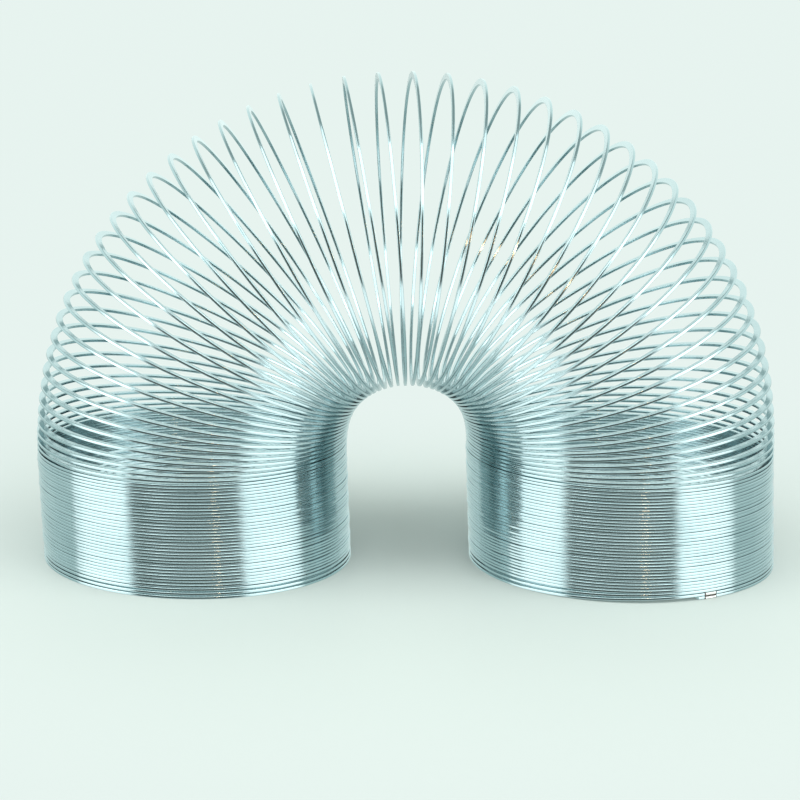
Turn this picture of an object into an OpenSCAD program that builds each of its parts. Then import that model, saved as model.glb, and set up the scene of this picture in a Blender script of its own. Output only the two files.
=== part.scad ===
// Spring coil toy: one long flat steel wire wound into a close coil, bent over into an arch and
// standing on both of its ends. A small crimp at each end ties the wire's last turn to the next one.
// The wire is divided where neighbouring turns touch, on the inside of the arch. There the wire runs
// along Y, so one turn can roll against the next about Y, as the real wire does by twisting.
// Turns are counted from the crown, negative to the left, and each turn starts at its inner point.

/* [Coil] */
// Outside diameter of the coil
coil_d = 69; // [60:0.5:80]
// Rise of one closed turn: the wire and the hairline gap above it
coil_pitch = 0.69; // [0.68:0.01:0.9]
// Extra room between turns on the inside of the arch, at the crown
crown_gap = 0.78; // [0:0.01:1.5]
// Sideways creep of each leg's turns as they rise, in degrees towards -X
leg_lean = 3; // [0:0.5:4]

/* [Wire] */
// Width of the flat wire, across the coil
wire_w = 1.5; // [1:0.1:2]
// Thickness of the flat wire, along the coil
wire_t = 0.62; // [0.4:0.01:0.63]

/* [Crimps] */
// Length of each end crimp
crimp_l = 3; // [2:0.1:4]
// Sheet thickness of the crimps
crimp_t = 0.1; // [0.05:0.01:0.2]
// Bare wire left past each crimp
wire_tip = 1.5; // [0.5:0.1:2]

/* [Hidden] */
arch_turns = 53;                       // turns that open like a fan, one node each

fan_half = arch_turns / 2 + 1;         // turns from the crown to where a leg stands straight
end_angle = 247;                       // angle round the turn at which the right leg's wire ends
stack_turns = 34 + end_angle / 360;    // straight turns in each leg
wire_end = fan_half + stack_turns;     // turn number of each wire end
flat_part = 0.8;                       // share of the last turn that lies flat on the table
settle_turns = 2;                      // turns over which the stack evens out above it
lift_turns = [1 / 24, 3 / 24];         // the wire's end rises by one sheet to clear the crimp

arch_segs = 20;                        // straight segments in each turn of the arch
leg_segs = 16;                         // straight segments in each turn of a leg
foot_segs = 24;                        // straight segments in the turns by the crimp
foot_turns = stack_turns - 33;         // turns from the wire's end that take those segments
cut_gap = 0.03;                        // half of the gap where the wire is divided
crimp_fit = 0.02;                      // room between the crimp and the wire
crimp_bow = 0.04;                      // room for the bend of the wire inside the crimp
crimp_round = 0.3;                     // outside corner radius of a crimp

ring_r = (coil_d - wire_w) / 2;        // radius of the wire's centre line
cut_turn = cut_gap / (2 * PI * ring_r);
crown_power = 12;                      // how sharply the extra room is held to the crown

function turn_name(k) = str("turn_", k < 10 ? "0" : "", k);
function smooth(x) = let (c = max(0, min(1, x))) c * c * (3 - 2 * c);

// Lean of a turn's plane, from 0 (lying flat, left leg) through 90 (crown) to 180 (right leg).
function tilt(s) = 90 * (1 + sin(90 * max(-1, min(1, s / fan_half))));
// Opening between one turn and the next, in radians.
function fan(s) = PI * PI / (4 * fan_half) * cos(90 * s / fan_half);
// Step from one inner point to the next: the wires' inner edges stay a closed pitch apart.
function arch_step(s) = coil_pitch + fan(s) * wire_w / 2
    + crown_gap * pow(cos(90 * s / fan_half), crown_power);
function heading(s) = [sin(tilt(s)), 0, cos(tilt(s))];
function outward(s) = [-cos(tilt(s)), 0, sin(tilt(s))];

// Height of the wire's centre line, f turns from its end. The first turn lies flat, then climbs.
function dip(u) = u < flat_part ? u : flat_part * (1 - smooth((u - flat_part) / (1 - flat_part)));
function settle(f) = dip(f - floor(f)) * max(0, min(1, 1 - (f - 1) / settle_turns));
// Sheets of the crimp under the wire: its end lies on one, the turn above passes through it and
// over that one too, and the turns above those lie on both.
function end_lift(f) = f < flat_part
    ? 1 - smooth((f - lift_turns[0]) / (lift_turns[1] - lift_turns[0]))
    : smooth((f - flat_part) / (1 - flat_part)) + smooth((f - 1 - flat_part) / (1 - flat_part));
function leg_z(f) = wire_t / 2 + crimp_t * end_lift(f) + coil_pitch * (f - settle(f));

// Inner line of the arch, summed step by step from the top of the left leg.
line_steps = 2 * fan_half * arch_segs;
arch_line = [
    for (i = 0, p = [0, 0, leg_z(stack_turns)]; i <= line_steps;
        p = p + arch_step(mid_turn(i)) / arch_segs * heading(mid_turn(i)), i = i + 1) p
];
function mid_turn(i) = (i + 0.5) / arch_segs - fan_half;
function arch_point(s) =
    let (i = (s + fan_half) * arch_segs, a = min(line_steps - 1, max(0, floor(i))))
    arch_line[a] + (arch_line[a + 1] - arch_line[a]) * (i - a);
function leg_point(s) =
    let (top = s < 0 ? arch_line[0] : arch_line[line_steps], z = leg_z(wire_end - abs(s)))
    [top[0] + tan(leg_lean) * (top[2] - z), 0, z];
function inner_point(s) = abs(s) > fan_half ? leg_point(s) : arch_point(s);

// Angle round the turn: 0 at the inner point, 90 at the back, 180 outside, 270 at the front.
function turn_angle(s) = 360 * (s - 0.5);
function wire_centre(s) = inner_point(s)
    + ring_r * (1 - cos(turn_angle(s))) * outward(s)
    + ring_r * [0, sin(turn_angle(s)), 0];
function wire_section(s) =
    let (
        c = wire_centre(s),
        across = wire_w / 2 * (-cos(turn_angle(s)) * outward(s) + [0, sin(turn_angle(s)), 0]),
        along = wire_t / 2 * heading(s)
    )
    [c - across - along, c + across - along, c + across + along, c - across + along];

// Turn numbers of the cross-sections of each length of wire.
leg_marks = concat(
    [for (i = [0 : foot_segs * foot_turns - 1]) -wire_end + i / foot_segs],
    [for (i = [0 : leg_segs * (stack_turns - foot_turns) - 1]) -wire_end + foot_turns + i / leg_segs],
    [for (i = [0 : arch_segs]) -fan_half + i / arch_segs - (i == arch_segs ? cut_turn : 0)]
);
function turn_start(k) = k - 1 - arch_turns / 2;
function turn_marks(k) = [
    for (i = [0 : arch_segs])
        turn_start(k) + i / arch_segs + (i == 0 ? cut_turn : i == arch_segs ? -cut_turn : 0)
];

// The object's middle in X, so that it stands centred over the origin.
outer_x = concat(
    [for (s = leg_marks, p = wire_section(s)) p[0]],
    [for (s = leg_marks, p = wire_section(-s)) p[0]]
);
middle_x = (min(outer_x) + max(outer_x)) / 2;

// A closed tube of four sides through the cross-sections at the given turn numbers.
module wire(marks) {
    sections = [for (s = marks) wire_section(s)];
    last = len(marks) - 1;
    points = [for (q = sections, p = q) p];
    sides = [
        for (i = [0 : last - 1], j = [0 : 3])
            let (a = 4 * i + j, b = 4 * i + (j + 1) % 4)
            each [[a, b, b + 4], [a, b + 4, a + 4]]
    ];
    first_end = [[2, 1, 0], [3, 2, 0]];
    last_end = [for (face = [[0, 1, 2], [0, 2, 3]]) [for (corner = face) 4 * last + corner]];
    translate([-middle_x, 0, 0])
        polyhedron(points = points, faces = concat(sides, first_end, last_end));
}

module rounded_bar(w, h, r) {
    square([w, h - 2 * r], center = true);
    square([w - 2 * r, h], center = true);
    for (x = [-1, 1], y = [-1, 1])
        translate([x * (w / 2 - r), y * (h / 2 - r)]) circle(r, $fn = 32);
}

// Sleeve of folded sheet round the wire's end and the turn above it.
module crimp(end_turn) {
    inward = end_turn > 0 ? -1 : 1;
    tip = wire_centre(end_turn);
    next = wire_centre(end_turn + inward / foot_segs);
    run = (next - tip) / norm(next - tip);
    two_wires = leg_z(1) - leg_z(0) + wire_t;
    hole = [wire_w + 2 * crimp_fit + crimp_bow, two_wires + crimp_fit];
    middle = tip + run * (wire_tip + crimp_l / 2);
    translate([middle[0] - middle_x, middle[1], crimp_t + hole[1] / 2])
        rotate([0, 0, atan2(run[1], run[0])])
            rotate([90, 0, 90])
                linear_extrude(crimp_l, center = true)
                    difference() {
                        rounded_bar(hole[0] + 2 * crimp_t, hole[1] + 2 * crimp_t, crimp_round);
                        square(hole, center = true);
                    }
}

module left_leg() {
    color("lightsteelblue") wire(leg_marks);
}

module right_leg() {
    color("lightsteelblue") wire([for (i = [len(leg_marks) - 1 : -1 : 0]) -leg_marks[i]]);
}

module arch_turn(k) {
    color("lightsteelblue") wire(turn_marks(k));
}

module left_crimp() {
    color("gainsboro") crimp(-wire_end);
}

module right_crimp() {
    color("gainsboro") crimp(wire_end);
}

left_leg();
right_leg();
left_crimp();
right_crimp();
for (k = [1 : arch_turns])
    arch_turn(k);
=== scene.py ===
import bpy
import numpy as np
from mathutils import Matrix, Vector


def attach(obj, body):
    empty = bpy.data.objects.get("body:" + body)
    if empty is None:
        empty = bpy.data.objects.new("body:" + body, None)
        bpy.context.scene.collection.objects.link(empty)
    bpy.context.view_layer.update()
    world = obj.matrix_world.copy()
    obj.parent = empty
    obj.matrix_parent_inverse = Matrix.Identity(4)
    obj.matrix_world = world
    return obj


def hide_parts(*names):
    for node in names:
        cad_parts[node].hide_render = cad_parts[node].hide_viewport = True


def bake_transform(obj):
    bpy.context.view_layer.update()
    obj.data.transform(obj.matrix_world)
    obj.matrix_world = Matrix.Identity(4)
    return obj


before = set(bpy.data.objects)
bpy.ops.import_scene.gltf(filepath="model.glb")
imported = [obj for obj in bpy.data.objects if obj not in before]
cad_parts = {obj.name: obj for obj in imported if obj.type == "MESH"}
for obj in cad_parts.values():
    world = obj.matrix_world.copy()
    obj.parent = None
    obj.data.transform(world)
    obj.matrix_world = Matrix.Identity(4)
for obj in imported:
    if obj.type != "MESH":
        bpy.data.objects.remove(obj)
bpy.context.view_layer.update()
print("frame loaded:", len(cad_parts), "nodes")

mm = 0.001
pi = np.pi

# The coil's shape.
# s counts turns from the crown, negative to the left; inner points are at the half-integers.
coil = {
    "outsideDiameter": 69, "pitch": 0.69, "crownGap": 0.78, "crownPower": 12, "lean": 3,
    "wireWidth": 1.5, "wireThickness": 0.62, "cornerRadius": 0.16, "closing": 0.05,
    "archTurns": 53, "stackTurns": 34 + 247 / 360, "flatPart": 0.8, "settleTurns": 2,
    "sheet": 0.1, "liftTurns": (1 / 24, 3 / 24),
    "lineSteps": 200, "turnSteps": 96, "cornerSteps": 4,
}
# Where the drawn differences begin and the turns they take to grow: from the crown, or from a wire end.
reach = {"closedFrom": 26.5, "closedOver": 3, "closedEnd": 1.3, "shiftFrom": 20, "shiftOver": 8,
         "stillEnd": 1.5, "stillOver": 2}
fanHalf = coil["archTurns"] / 2 + 1
wireEnd = fanHalf + coil["stackTurns"]
ringRadius = (coil["outsideDiameter"] - coil["wireWidth"]) / 2


# 3x^2 - 2x^3, with x held between 0 and 1.
def smooth(x):
    x = np.clip(x, 0, 1)
    return x * x * (3 - 2 * x)


# Lean of a turn's plane: pi/2 (1 + sin(pi/2 s/fanHalf)), 0 lying flat on the left, pi on the right.
def tilt(s):
    return pi / 2 * (1 + np.sin(pi / 2 * np.clip(s / fanHalf, -1, 1)))


# Step a turn along the inner line: pitch + opening * width/2 + crownGap cos(pi/2 s/fanHalf)^power.
def archStep(s):
    c = np.cos(pi / 2 * s / fanHalf)
    opening = pi * pi / (4 * fanHalf) * c
    return coil["pitch"] + opening * coil["wireWidth"] / 2 + coil["crownGap"] * c ** coil["crownPower"]


# Direction along the coil: (sin tilt, 0, cos tilt).
def heading(s):
    return np.stack([np.sin(tilt(s)), 0 * s, np.cos(tilt(s))], -1)


# Direction from the inner point across the turn: (-cos tilt, 0, sin tilt).
def outward(s):
    return np.stack([-np.cos(tilt(s)), 0 * s, np.sin(tilt(s))], -1)


# Height f turns from the wire's end: t/2 + sheet * lift + pitch (f - settle).
def legHeight(f):
    flat, u = coil["flatPart"], f - np.floor(f)
    dip = np.where(u < flat, u, flat * (1 - smooth((u - flat) / (1 - flat))))
    settle = dip * np.clip(1 - (f - 1) / coil["settleTurns"], 0, 1)
    first, last = coil["liftTurns"]
    lift = np.where(f < flat, 1 - smooth((f - first) / (last - first)),
                    smooth((f - flat) / (1 - flat)) + smooth((f - 1 - flat) / (1 - flat)))
    return coil["wireThickness"] / 2 + coil["sheet"] * lift + coil["pitch"] * (f - settle)


# Inner line of the arch: running sum of archStep * heading at the middle of each small step.
def innerLine():
    count = int(round(2 * fanHalf * coil["lineSteps"]))
    s = (np.arange(count) + 0.5) / coil["lineSteps"] - fanHalf
    start = np.array([[0, 0, float(legHeight(coil["stackTurns"]))]])
    return np.vstack([start, start + np.cumsum(archStep(s)[:, None] / coil["lineSteps"] * heading(s), 0)])


line = innerLine()
lineMarks = np.linspace(-fanHalf, fanHalf, len(line))


# The arch's inner line, and below it a leg that creeps by tan(lean) towards -X as it rises.
def innerPoint(s):
    arch = np.stack([np.interp(s, lineMarks, line[:, i]) for i in range(3)], -1)
    top = np.where((s < 0)[:, None], line[0], line[-1])
    z = legHeight(wireEnd - np.abs(s))
    leg = np.stack([top[:, 0] + np.tan(np.radians(coil["lean"])) * (top[:, 2] - z), 0 * z, z], -1)
    return np.where((np.abs(s) > fanHalf)[:, None], leg, arch)


# 0 at the inner point, pi/2 at the back, pi outside, 3pi/2 at the front.
def turnAngle(s):
    return 2 * pi * (s - 0.5)


# Direction from the turn's centre to the wire: -cos(angle) outward + sin(angle) Y.
def radial(s):
    a = turnAngle(s)[:, None]
    return -np.cos(a) * outward(s) + np.sin(a) * np.array([0, 1, 0])


# Inner point + ringRadius (outward + radial).
def wireCentre(s):
    return innerPoint(s) + ringRadius * (outward(s) + radial(s))


# Half way between the legs' outsides, where the frame's origin stands.
def middleX():
    s = wireEnd - np.arange(0, coil["stackTurns"] + 1, 1 / 240)
    x = np.concatenate([wireCentre(q)[:, 0] + side * radial(q)[:, 0] * coil["wireWidth"] / 2
                        for q in (-s, s) for side in (-1, 1)])
    return (x.min() + x.max()) / 2


originX = middleX()


# Meshes.
# Rounded rectangle, anticlockwise: corner centre + radius (cos q, sin q), with its normals and each
# point's distance round it.
def sectionProfile():
    r, steps = coil["cornerRadius"], coil["cornerSteps"]
    across, along = coil["wireWidth"] / 2 - r, coil["wireThickness"] / 2 - r
    q = np.concatenate([np.linspace(k, k + 1, steps + 1) * pi / 2 for k in range(4)])
    signs = np.repeat([[1, 1], [-1, 1], [-1, -1], [1, -1]], steps + 1, axis=0)
    normals = np.stack([np.cos(q), np.sin(q)], -1)
    points = signs * [across, along] + r * normals
    way = np.concatenate([[0], np.cumsum(np.linalg.norm(np.diff(points, axis=0), axis=1))])
    return points, normals, way


# Closed tube from an (n, m, 3) grid of points: quads round and along, and a flat cap at each end. The
# caps have corners of their own, so the sides stay smooth up to the end.
def tubeMesh(name, rings, normals, u, v):
    n, m = rings.shape[:2]
    grid = np.arange(n * m).reshape(n, m)
    sides = np.stack([grid[:-1], grid[1:], np.roll(grid[1:], -1, 1), np.roll(grid[:-1], -1, 1)], -1)
    sides = sides.reshape(-1, 4)
    mesh = bpy.data.meshes.new(name)
    caps = [grid[0], grid[-1][::-1]]
    loops = np.concatenate([sides.ravel(), *caps]).astype(np.int32)
    starts = np.concatenate([np.arange(len(sides)) * 4, [len(sides) * 4, len(sides) * 4 + m]])
    mesh.vertices.add(n * m)
    mesh.vertices.foreach_set("co", rings.astype(np.float32).ravel())
    mesh.loops.add(len(loops))
    mesh.loops.foreach_set("vertex_index", loops)
    mesh.polygons.add(len(starts))
    mesh.polygons.foreach_set("loop_start", starts.astype(np.int32))
    mesh.polygons.foreach_set("use_smooth", np.ones(len(starts), bool))
    mesh.update(calc_edges=True)
    mesh.validate()

    uv = mesh.uv_layers.new(name="alongWire")
    vNext = np.concatenate([v[1:], [v[-1] + (v[1] - v[0])]])
    around = np.stack([v, v, vNext, vNext], -1)
    coords = np.zeros((n - 1, m, 4, 2))
    coords[..., 0] = np.stack([u[:-1], u[1:], u[1:], u[:-1]], -1)[:, None]
    coords[..., 1] = around[None]
    capUv = np.zeros((2 * m, 2))
    capUv[:, 0] = np.repeat([u[0], u[-1]], m)
    uv.data.foreach_set("uv", np.concatenate([coords.reshape(-1, 2), capUv]).astype(np.float32).ravel())

    direction = np.stack([rings[0].mean(0) - rings[1].mean(0), rings[-1].mean(0) - rings[-2].mean(0)])
    direction /= np.linalg.norm(direction, axis=1)[:, None]
    loopNormals = np.concatenate([normals.reshape(-1, 3)[sides.ravel()], np.repeat(direction, m, axis=0)])
    mesh.normals_split_custom_set(loopNormals.tolist())
    piece = bpy.data.objects.new(name, mesh)
    bpy.context.scene.collection.objects.link(piece)
    return piece


# Sum of a sin(2 pi (f s + p)) over rows of (a, f, p), and its slope by s, both held off near the wire's
# ends.
def waves(s, rows):
    hold = smooth((wireEnd - reach["stillEnd"] - np.abs(s)) / reach["stillOver"])
    a, f, p = np.array(rows).T[..., None]
    angle = 2 * pi * (f * s + p)
    return hold * (a * np.sin(angle)).sum(0), hold * (2 * pi * a * f * np.cos(angle)).sum(0)


# Hand-wound unevenness, as rows of (size, waves a turn, phase): in mm across the wire, then in radians
# of roll about the wire. Neighbouring turns of a leg also shift a little against each other.
uneven = {
    "bow": [(0.028, 5.37, 0.1), (0.017, 9.61, 0.7), (0.009, 15.29, 0.4)],
    "roll": [(0.022, 0.463, 0.2), (0.016, 1.741, 0.5), (0.010, 3.187, 0.9), (0.008, 6.411, 0.3)],
    "shift": [(0.050, 0.159, 0.1), (0.040, 0.389, 0), (0.030, 1.130, 0.3)],
}


# The wire's section carried along wireCentre(s), from s = start to s = end: point = centre + a across
# + b along, for each (a, b) of the section, where across and along are radial and heading, rolled a little.
def wirePiece(name, start, end, material):
    count = max(2, int(round((end - start) * coil["turnSteps"])) + 1)
    s = np.linspace(start, end, count)
    points, normals, way = sectionProfile()
    closed = smooth((np.abs(s) - reach["closedFrom"]) / reach["closedOver"])
    closed = closed * smooth(wireEnd - np.abs(s) - reach["closedEnd"])
    thicker = 1 + closed[:, None, None] * coil["closing"] / coil["wireThickness"]
    bow, bowSlope = waves(s, uneven["bow"])
    shift = waves(s, uneven["shift"])[0] * smooth((np.abs(s) - reach["shiftFrom"]) / reach["shiftOver"])
    roll = waves(s, uneven["roll"])[0][:, None]
    centre = wireCentre(s) + radial(s) * (bow + shift)[:, None] - [originX, 0, 0]
    tangent = np.cross(heading(s), radial(s))
    edge = radial(s) - tangent * (bowSlope / (2 * pi * ringRadius))[:, None]
    across = (edge * np.cos(roll) + heading(s) * np.sin(roll))[:, None]
    along = (heading(s) * np.cos(roll) - edge * np.sin(roll))[:, None]
    rings = centre[:, None] + points[:, :1] * across + points[:, 1:] * thicker * along
    ringNormals = normals[:, :1] * across + normals[:, 1:] * along
    length = 2 * pi * ringRadius * s * mm
    piece = tubeMesh(name, rings * mm, ringNormals, length, way * mm)
    piece.data.materials.append(material)
    return piece


# Materials.
def newNode(tree, kind, x, y, **values):
    made = tree.nodes.new(kind)
    made.location = (x, y)
    for key, value in values.items():
        setattr(made, key, value)
    return made


# Clamped ramp from 0 at low to 1 at high, smoothed.
def ramp(tree, source, low, high, x, y):
    made = newNode(tree, "ShaderNodeMapRange", x, y, interpolation_type="SMOOTHSTEP")
    made.inputs["From Min"].default_value = low
    made.inputs["From Max"].default_value = high
    tree.links.new(source, made.inputs["Value"])
    return made.outputs["Result"]


def mathNode(tree, operation, first, second, x, y):
    made = newNode(tree, "ShaderNodeMath", x, y, operation=operation)
    for socket, value in zip(made.inputs, (first, second)):
        if isinstance(value, (int, float)):
            socket.default_value = value
        else:
            tree.links.new(value, socket)
    return made.outputs[0]


# One colour over another by a mask; each colour is a socket or three numbers.
def layer(tree, under, over, mask, x, y):
    made = newNode(tree, "ShaderNodeMix", x, y, data_type="RGBA")
    for socket, colour in ((made.inputs["A"], under), (made.inputs["B"], over)):
        if isinstance(colour, tuple):
            socket.default_value = (*colour, 1)
        else:
            tree.links.new(colour, socket)
    tree.links.new(mask, made.inputs["Factor"])
    return made.outputs["Result"]


# Scale and detail of each noise. The streaks' scale comes from the group's own inputs.
noises = {"streaks": (1, 4), "patches": (70, 3), "specks": (900, 2)}


def noiseNode(tree, name, x, y):
    made = newNode(tree, "ShaderNodeTexNoise", x, y)
    made.inputs["Scale"].default_value, made.inputs["Detail"].default_value = noises[name]
    return made


# Group: fine streaks left by drawing and rolling the metal, long in U and narrow in V, with wide patches
# and small specks placed by Object coordinates.
def drawnMarks():
    group = bpy.data.node_groups.new("drawnMarks", "ShaderNodeTree")
    face = group.interface
    for name, kind, value in (("Along", "NodeSocketFloat", 60), ("Across", "NodeSocketFloat", 9000),
                              ("Seed", "NodeSocketFloat", 0)):
        face.new_socket(name, in_out="INPUT", socket_type=kind).default_value = value
    for name in ("Streaks", "Patches", "Specks"):
        face.new_socket(name, in_out="OUTPUT", socket_type="NodeSocketFloat")
    start, stop = newNode(group, "NodeGroupInput", -900, 0), newNode(group, "NodeGroupOutput", 500, 0)
    coords = newNode(group, "ShaderNodeUVMap", -900, 300, uv_map="alongWire")
    split = newNode(group, "ShaderNodeSeparateXYZ", -700, 300)
    group.links.new(coords.outputs[0], split.inputs[0])
    scaled = []
    for axis, socket in (("X", "Along"), ("Y", "Across")):
        times = newNode(group, "ShaderNodeMath", -500, 300 if axis == "X" else 100, operation="MULTIPLY")
        group.links.new(split.outputs[axis], times.inputs[0])
        group.links.new(start.outputs[socket], times.inputs[1])
        scaled.append(times)
    join = newNode(group, "ShaderNodeCombineXYZ", -300, 200)
    group.links.new(scaled[0].outputs[0], join.inputs["X"])
    group.links.new(scaled[1].outputs[0], join.inputs["Y"])
    group.links.new(start.outputs["Seed"], join.inputs["Z"])
    streaks = noiseNode(group, "streaks", -50, 300)
    group.links.new(join.outputs[0], streaks.inputs["Vector"])
    place = newNode(group, "ShaderNodeTexCoord", -300, -200)
    patches = noiseNode(group, "patches", -50, -100)
    specks = noiseNode(group, "specks", -50, -400)
    for noise in (patches, specks):
        group.links.new(place.outputs["Object"], noise.inputs["Vector"])
    for noise, name in ((streaks, "Streaks"), (patches, "Patches"), (specks, "Specks")):
        group.links.new(noise.outputs["Fac"], stop.inputs[name])
    return group


marks = drawnMarks()


noiseSpan = (0.3, 0.7)     # the values that most of a noise falls between


# low + (high - low) * share, where share is how far the source is along noiseSpan, from 0 to 1.
def mapRange(tree, source, low, high, x, y):
    made = newNode(tree, "ShaderNodeMapRange", x, y)
    for name, value in zip(("From Min", "From Max", "To Min", "To Max"), (*noiseSpan, low, high)):
        made.inputs[name].default_value = value
    tree.links.new(source, made.inputs["Value"])
    return made.outputs["Result"]


# Painted shade: the colour darkens in the fold between the two wires, by |V|, and at both mouths, by |U|,
# where shade falls.
def foldShade(tree, base, look):
    place = newNode(tree, "ShaderNodeUVMap", -1100, 500, uv_map="alongWire")
    split = newNode(tree, "ShaderNodeSeparateXYZ", -900, 500)
    tree.links.new(place.outputs[0], split.inputs[0])
    height = mathNode(tree, "ABSOLUTE", split.outputs["Y"], 0, -700, 600)
    length = mathNode(tree, "ABSOLUTE", split.outputs["X"], 0, -700, 400)
    fold, lip = ramp(tree, height, *look["paintedFoldShade"], -550, 600), ramp(tree, length, *look["lip"], -550, 400)
    return layer(tree, base, look["paintedShadeTone"], mathNode(tree, "MAXIMUM", fold, lip, -250, 500), -150, 300)


metalIor = 2.5
streakDepth = 0.00002


# Bare polished metal: colour between two tones by patches, roughness by streaks, fine streak bump.
def metal(name, look):
    made = bpy.data.materials.new(name)
    made.use_nodes = True
    tree = made.node_tree
    shader = tree.nodes["Principled BSDF"]
    shader.inputs["Metallic"].default_value = 1
    shader.inputs["IOR"].default_value = metalIor
    grain = newNode(tree, "ShaderNodeGroup", -900, 0, node_tree=marks)
    for key in ("Along", "Across", "Seed"):
        grain.inputs[key].default_value = look[key]
    tone = newNode(tree, "ShaderNodeMix", -400, 200, data_type="RGBA")
    tone.inputs["A"].default_value = (*look["tone"], 1)
    tone.inputs["B"].default_value = (*look["toneDark"], 1)
    tree.links.new(mapRange(tree, grain.outputs["Patches"], 0, 1, -650, 200), tone.inputs["Factor"])
    base = tone.outputs["Result"]
    # Crimp only: painted shade darkens the colour in the fold between the wires and at both mouths.
    if "paintedFoldShade" in look:
        base = foldShade(tree, base, look)
    tree.links.new(base, shader.inputs["Base Color"])
    rough = newNode(tree, "ShaderNodeMath", -400, -100, operation="ADD")
    low, high = look["roughness"]
    tree.links.new(mapRange(tree, grain.outputs["Streaks"], low, high, -650, -50), rough.inputs[0])
    tree.links.new(mapRange(tree, grain.outputs["Specks"], 0, look["speckRoughness"], -650, -300),
                   rough.inputs[1])
    tree.links.new(rough.outputs[0], shader.inputs["Roughness"])
    bump = newNode(tree, "ShaderNodeBump", -200, -300)
    bump.inputs["Strength"].default_value = look["bump"]
    bump.inputs["Distance"].default_value = streakDepth
    tree.links.new(grain.outputs["Streaks"], bump.inputs["Height"])
    tree.links.new(bump.outputs[0], shader.inputs["Normal"])
    return made


wireLook = {"tone": (0.45, 0.58, 0.60), "toneDark": (0.38, 0.51, 0.53), "roughness": (0.09, 0.15),
            "speckRoughness": 0.04, "bump": 0.04, "Along": 60, "Across": 4000, "Seed": 0}
# The crimp's last three entries paint shade into its colour: the widths of the dark fold and mouths, and the
# near-black colour painted there.
crimpLook = {"tone": (0.54, 0.57, 0.55), "toneDark": (0.42, 0.45, 0.43), "roughness": (0.14, 0.26),
             "speckRoughness": 0.08, "bump": 0.15, "Along": 900, "Across": 2500, "Seed": 7,
             "paintedFoldShade": (0.00030, 0.00010), "lip": (0.00124, 0.00140),
             "paintedShadeTone": (0.045, 0.04, 0.035)}
wireMetal = metal("brightFlatWire", wireLook)
crimpMetal = metal("crimpSheet", crimpLook)

# The wire.
bodies = ["left_leg"] + [f"turn_{k:02d}" for k in range(1, coil["archTurns"] + 1)] + ["right_leg"]
firstBend = -fanHalf + 0.25      # back point of the left leg's top turn
lastBend = fanHalf - 0.75        # back point of the right leg's first turn

leftStack = wirePiece("left_leg_wire", -wireEnd, firstBend, wireMetal)
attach(leftStack, "left_leg")
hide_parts("left_leg")
rightStack = wirePiece("right_leg_wire", lastBend, wireEnd, wireMetal)
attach(rightStack, "right_leg")
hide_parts("right_leg")
print("legs made")

# From the back of one turn to the back of the next, the wire turns from one body to the other:
# half of the way over the outside, from back to front, and the other half under the inside.
for k in range(len(bodies) - 1):
    backPoint = firstBend + k
    outer = wirePiece(f"{bodies[k]}_over", backPoint, backPoint + 0.5, wireMetal)
    inner = wirePiece(f"{bodies[k]}_under", backPoint + 0.5, backPoint + 1, wireMetal)
    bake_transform(outer)
    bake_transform(inner)
    if k > 0:
        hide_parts(bodies[k])
print("arch made:", 2 * (len(bodies) - 1), "half turns")

# The crimps.
crimpSize = {"length": 3, "tip": 1.5, "sheet": 0.1, "fit": 0.02, "bow": 0.04, "corner": 0.3,
             "waist": 0.12, "rings": 25, "cornerSteps": 6, "sideSteps": 10,
             "endPinch": 0.45, "innerPinch": 0.3, "lipFrom": 0.9, "lipRoll": 0.03, "crease": 40}


# Rounded rectangle whose long sides pull in by waist * cos(pi z/height)^2 between the two wires.
def crimpRing(width, height, corner, waist):
    steps, side = crimpSize["cornerSteps"], crimpSize["sideSteps"]
    q = np.linspace(0, pi / 2, steps + 1)
    arc = np.stack([width / 2 - corner + corner * np.cos(q), height / 2 - corner + corner * np.sin(q)], -1)
    rise = np.linspace(-1, 1, side + 2)[1:-1] * (height / 2 - corner)
    flat = np.stack([np.full(side, width / 2), rise], -1)
    lowerArc = arc * [1, -1]
    points = np.concatenate([flat, arc, (arc * [-1, 1])[::-1], (flat * [-1, 1])[::-1],
                             (lowerArc * [-1, 1]), lowerArc[::-1]])
    pinch = waist * np.cos(pi * np.clip(points[:, 1] / height, -0.5, 0.5)) ** 2
    points[:, 0] -= np.sign(points[:, 0]) * pinch
    return points


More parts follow.
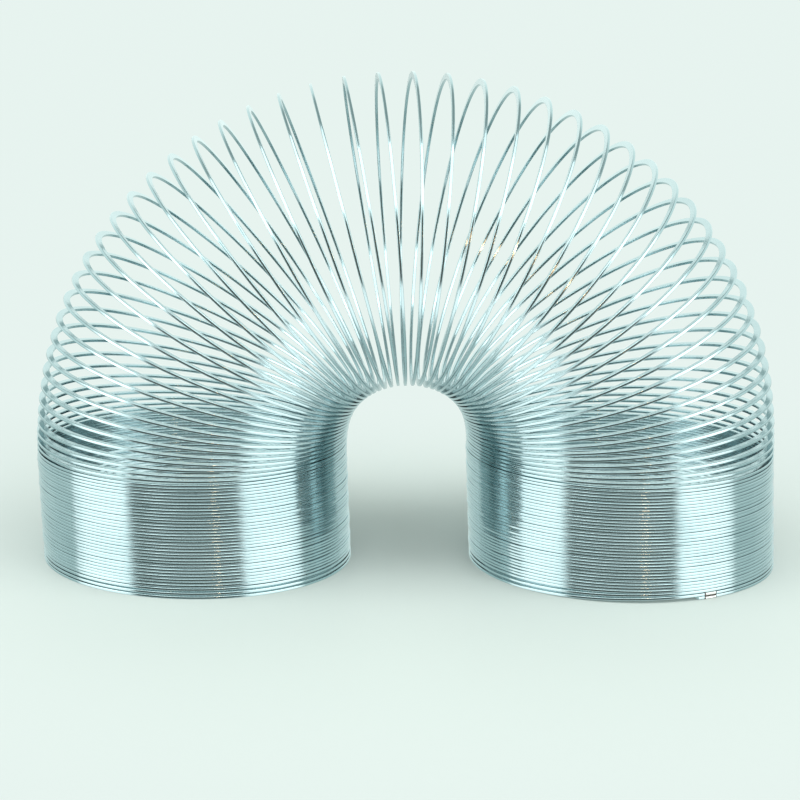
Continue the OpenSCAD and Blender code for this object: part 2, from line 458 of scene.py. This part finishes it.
# Sheet sleeve: outer and inner rings carried along the wire's last turn, joined at both mouths.
def crimpPiece(name, endTurn, node, body):
    inwards = -1 if endTurn > 0 else 1
    twoWires = float(legHeight(np.array(1.0)) - legHeight(np.array(0.0))) + coil["wireThickness"]
    room = 2 * crimpSize["fit"] + crimpSize["bow"]
    hole = np.array([coil["wireWidth"] + room, twoWires + crimpSize["fit"]])
    sheet = crimpSize["sheet"]
    t = np.linspace(-1, 1, crimpSize["rings"])
    fromTip = crimpSize["tip"] + crimpSize["length"] / 2 * (1 + t)
    s = endTurn + inwards * fromTip / (2 * pi * ringRadius)
    spine = wireCentre(s) - [originX, 0, 0]
    spine[:, 2] = sheet + hole[1] / 2
    squeeze = crimpSize["waist"] * (1 - crimpSize["endPinch"] * np.sin(pi * t) ** 2)
    outer = np.stack([crimpRing(*(hole + 2 * sheet), crimpSize["corner"], w) for w in squeeze])
    inner = np.stack([crimpRing(*hole, crimpSize["corner"] - sheet, w)
                      for w in crimpSize["innerPinch"] * squeeze])
    lip = np.clip((np.abs(t) - crimpSize["lipFrom"]) / (1 - crimpSize["lipFrom"]), 0, 1)[:, None, None]
    outer = outer * (1 - crimpSize["lipRoll"] * lip)
    shell = np.concatenate([outer, inner[::-1]])
    centre = np.concatenate([spine, spine[::-1]])[:, None]
    side = np.concatenate([radial(s), radial(s)[::-1]])[:, None]
    rings = centre + shell[..., :1] * side + shell[..., 1:] * np.array([0, 0, 1])
    n, m = rings.shape[:2]
    grid = np.arange(n * m).reshape(n, m)
    faces = np.stack([grid, np.roll(grid, -1, 1), np.roll(np.roll(grid, -1, 0), -1, 1),
                      np.roll(grid, -1, 0)], -1).reshape(-1, 4)
    mesh = bpy.data.meshes.new(name)
    mesh.from_pydata((rings.reshape(-1, 3) * mm).tolist(), [], faces.tolist())
    uv = mesh.uv_layers.new(name="alongWire")
    index = np.zeros(len(mesh.loops), np.int32)
    mesh.loops.foreach_get("vertex_index", index)
    flatCoords = np.stack([np.repeat(np.concatenate([t, t[::-1]]), m) * crimpSize["length"] / 2,
                           shell[..., 1].ravel()], -1) * mm
    uv.data.foreach_set("uv", flatCoords[index].astype(np.float32).ravel())
    mesh.polygons.foreach_set("use_smooth", np.ones(len(mesh.polygons), bool))
    mesh.set_sharp_from_angle(angle=np.radians(crimpSize["crease"]))
    mesh.update()
    piece = bpy.data.objects.new(name, mesh)
    bpy.context.scene.collection.objects.link(piece)
    if signedVolume(rings.reshape(-1, 3), faces) < 0:
        mesh.flip_normals()
    mesh.materials.append(crimpMetal)
    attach(piece, body)
    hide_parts(node)
    return piece


# Sum of a . (b x c) / 6 over the faces' triangles; below zero where the faces look inwards.
def signedVolume(points, faces):
    a, b, c, d = (points[faces[:, i]] for i in range(4))
    return (np.einsum("ij,ij->i", a, np.cross(b, c)) + np.einsum("ij,ij->i", a, np.cross(c, d))).sum() / 6


crimpPiece("left_crimp_sleeve", -wireEnd, "left_crimp", "left_leg")
crimpPiece("right_crimp_sleeve", wireEnd, "right_crimp", "right_leg")
print("crimps made")

# The studio.
studio = {
    "floor": (0.475, 0.515, 0.49), "backdrop": (0.80, 0.90, 0.865),
    "wall": (1.10, 1.24, 1.20), "ceiling": (0.46, 0.53, 0.51),
    "tableTop": (0.66, 0.79, 0.76), "darkSide": (0.15, 0.165, 0.15), "sideCard": (1.80, 1.82, 1.78),
    "ambient": 1.05, "floorRadius": 3.0, "fadeRadius": (0.05, 0.2), "fadeBack": (0.04, 0.15),
    "darkAngle": 42, "cardAngle": 92, "roomTurn": 4.5, "darkBlur": 0.07, "cardBlur": 0.02,
    "roughness": 0.6, "specular": 0.2, "floorRings": 8, "floorSides": 64,
}
# Heights, as the sine of the elevation, between which each part of the mirrored room fades in.
heights = {"dark": (-0.54, -0.42), "card": (-0.90, -0.75), "top": (0.40, 0.33), "ceiling": (0.5, 0.75),
           "table": (0.0, -0.2)}


# Disc of rings: radius * (cos a, sin a, 0).
def paleFloor():
    sides = studio["floorSides"]
    radius = studio["floorRadius"] * np.linspace(0, 1, studio["floorRings"] + 1)[1:] ** 2
    a = np.linspace(0, 2 * pi, sides + 1)[:-1]
    points = np.concatenate([[[0, 0, 0]], np.stack([np.outer(radius, np.cos(a)), np.outer(radius, np.sin(a)),
                                                   0 * np.outer(radius, a)], -1).reshape(-1, 3)])
    ring = 1 + np.arange(len(radius) * sides).reshape(-1, sides)
    quads = np.stack([ring[:-1], ring[1:], np.roll(ring[1:], -1, 1), np.roll(ring[:-1], -1, 1)], -1)
    fan = [[0, int(ring[0, i]), int(ring[0, (i + 1) % sides])] for i in range(sides)]
    mesh = bpy.data.meshes.new("floor")
    mesh.from_pydata(points.tolist(), [], fan + quads.reshape(-1, 4).tolist())
    made = bpy.data.materials.new("paleFloor")
    made.use_nodes = True
    tree = made.node_tree
    shader = tree.nodes["Principled BSDF"]
    shader.inputs["Base Color"].default_value = (*studio["floor"], 1)
    shader.inputs["Roughness"].default_value = studio["roughness"]
    shader.inputs["Specular IOR Level"].default_value = studio["specular"]
    place = newNode(tree, "ShaderNodeTexCoord", -900, 0)
    length = newNode(tree, "ShaderNodeVectorMath", -700, 0, operation="LENGTH")
    tree.links.new(place.outputs["Object"], length.inputs[0])
    split = newNode(tree, "ShaderNodeSeparateXYZ", -700, -200)
    tree.links.new(place.outputs["Object"], split.inputs[0])
    away = ramp(tree, length.outputs["Value"], *studio["fadeRadius"], -500, 0)
    back = ramp(tree, split.outputs["Y"], *studio["fadeBack"], -500, -200)
    far = mathNode(tree, "MAXIMUM", away, back, -300, 0)
    glow = newNode(tree, "ShaderNodeEmission", -300, -300)
    glow.inputs["Color"].default_value = (*studio["backdrop"], 1)
    mix = newNode(tree, "ShaderNodeMixShader", 300, 0)
    tree.links.new(far, mix.inputs["Fac"])
    tree.links.new(shader.outputs[0], mix.inputs[1])
    tree.links.new(glow.outputs[0], mix.inputs[2])
    tree.links.new(mix.outputs[0], tree.nodes["Material Output"].inputs["Surface"])
    mesh.materials.append(made)
    floor = bpy.data.objects.new("floor", mesh)
    bpy.context.scene.collection.objects.link(floor)
    floor.visible_glossy = False


# What the metal mirrors, by direction: pale wall behind, pale ceiling, pale table below, the dark of the
# room on the camera's side and a bright card on either side of it. Other rays see the pale backdrop.
def studioWorld():
    world = bpy.data.worlds.new("studio")
    bpy.context.scene.world = world
    world.use_nodes = True
    tree = world.node_tree
    shade = tree.nodes["Background"]
    place = newNode(tree, "ShaderNodeTexCoord", -1900, 0)
    split = newNode(tree, "ShaderNodeSeparateXYZ", -1700, 0)
    tree.links.new(place.outputs["Generated"], split.inputs[0])
    x, y, z = split.outputs
    towards = mathNode(tree, "MULTIPLY", y, -1, -1500, 200)
    turned = mathNode(tree, "ADD", mathNode(tree, "ARCTAN2", x, towards, -1400, 200),
                      float(np.radians(studio["roomTurn"])), -1250, 200)
    azimuth = mathNode(tree, "ABSOLUTE", turned, 0, -1100, 200)
    inner, outer = np.radians(studio["darkAngle"]), np.radians(studio["cardAngle"])
    darkBlur, cardBlur = studio["darkBlur"], studio["cardBlur"]
    middle = ramp(tree, azimuth, float(inner + darkBlur), float(inner - darkBlur), -900, 300)
    within = ramp(tree, azimuth, float(outer + cardBlur), float(outer - cardBlur), -900, 100)
    level = mathNode(tree, "MULTIPLY", ramp(tree, z, *heights["dark"], -900, -100),
                     ramp(tree, z, *heights["top"], -900, -300), -700, -200)
    dark = mathNode(tree, "MULTIPLY", middle, level, -500, 200)
    cardLevel = mathNode(tree, "MULTIPLY", ramp(tree, z, *heights["card"], -900, -450),
                         ramp(tree, z, *heights["top"], -900, -600), -700, -400)
    card = mathNode(tree, "MULTIPLY", within, cardLevel, -500, 0)
    above = ramp(tree, z, *heights["ceiling"], -700, -500)
    under = ramp(tree, z, *heights["table"], -700, -700)
    room = layer(tree, studio["wall"], studio["ceiling"], above, -300, -300)
    room = layer(tree, room, studio["tableTop"], under, -100, -300)
    room = layer(tree, room, studio["sideCard"], card, 100, -200)
    room = layer(tree, room, studio["darkSide"], dark, 300, -100)
    path = newNode(tree, "ShaderNodeLightPath", 100, 400)
    seen = layer(tree, studio["backdrop"], room, path.outputs["Is Glossy Ray"], 500, 0)
    tree.links.new(seen, shade.inputs["Color"])
    dim = mathNode(tree, "MULTIPLY", path.outputs["Is Diffuse Ray"], studio["ambient"] - 1, 300, 400)
    tree.links.new(mathNode(tree, "ADD", dim, 1, 500, 400), shade.inputs["Strength"])
    shade.location, tree.nodes["World Output"].location = (700, 0), (900, 0)


# Azimuth and elevation in degrees, distance, width, height, power in watts, and colour.
lamps = {
    "leftBox": (-69, 34, 1.2, 0.9, 2.1, 10.6, (0.97, 1.0, 1.0)),
    "rightBox": (62, 34, 1.2, 0.9, 2.1, 10.4, (0.97, 1.0, 1.0)),
    "frontBox": (0, 51, 1.2, 1.3, 1.05, 7.7, (1.0, 1.0, 1.0)),
    "warmLamp": (15, 8, 1.1, 0.04, 0.16, 0.5, (1.0, 0.55, 0.3)),
}
lampAim = Vector((0, 0, 0.04))


# Rectangular lamp aimed at the coil. Azimuth 0 is the camera's side, positive to the right.
def softbox(name, azimuth, elevation, distance, width, height, power, colour):
    lamp = bpy.data.lights.new(name, "AREA")
    lamp.shape = "RECTANGLE"
    lamp.size, lamp.size_y, lamp.energy, lamp.color = width, height, power, colour
    made = bpy.data.objects.new(name, lamp)
    bpy.context.scene.collection.objects.link(made)
    a, e = np.radians(azimuth), np.radians(elevation)
    made.location = lampAim + distance * Vector((np.sin(a) * np.cos(e), -np.cos(a) * np.cos(e), np.sin(e)))
    made.rotation_euler = (lampAim - made.location).to_track_quat("-Z", "Y").to_euler()
    return made


paleFloor()
studioWorld()
for lampName, setting in lamps.items():
    softbox(lampName, *setting)

# The camera.
# Metres and radians; focalShare is the focal length over the sensor's width.
view = {"distance": 0.6005, "elevation": 0.2384, "azimuth": 0.0341, "roll": 0.0197, "aimX": -0.0023,
        "aimZ": 0.036, "focalShare": 3.3602, "sensorWidth": 36, "clip": (0.01, 20)}
lens = bpy.data.cameras.new("camera")
lens.sensor_width = view["sensorWidth"]
lens.lens = view["focalShare"] * lens.sensor_width
lens.clip_start, lens.clip_end = view["clip"]
camera = bpy.data.objects.new("camera", lens)
bpy.context.scene.collection.objects.link(camera)
az, el = view["azimuth"], view["elevation"]
forward = Vector((np.sin(az) * np.cos(el), np.cos(az) * np.cos(el), -np.sin(el)))
camera.location = Vector((view["aimX"], 0, view["aimZ"])) - view["distance"] * forward
turn = forward.to_track_quat("-Z", "Y").to_matrix().to_4x4() @ Matrix.Rotation(view["roll"], 4, "Z")
camera.rotation_euler = turn.to_euler()
bpy.context.scene.camera = camera

bpy.context.scene.view_settings.view_transform = "Standard"
print("studio made")
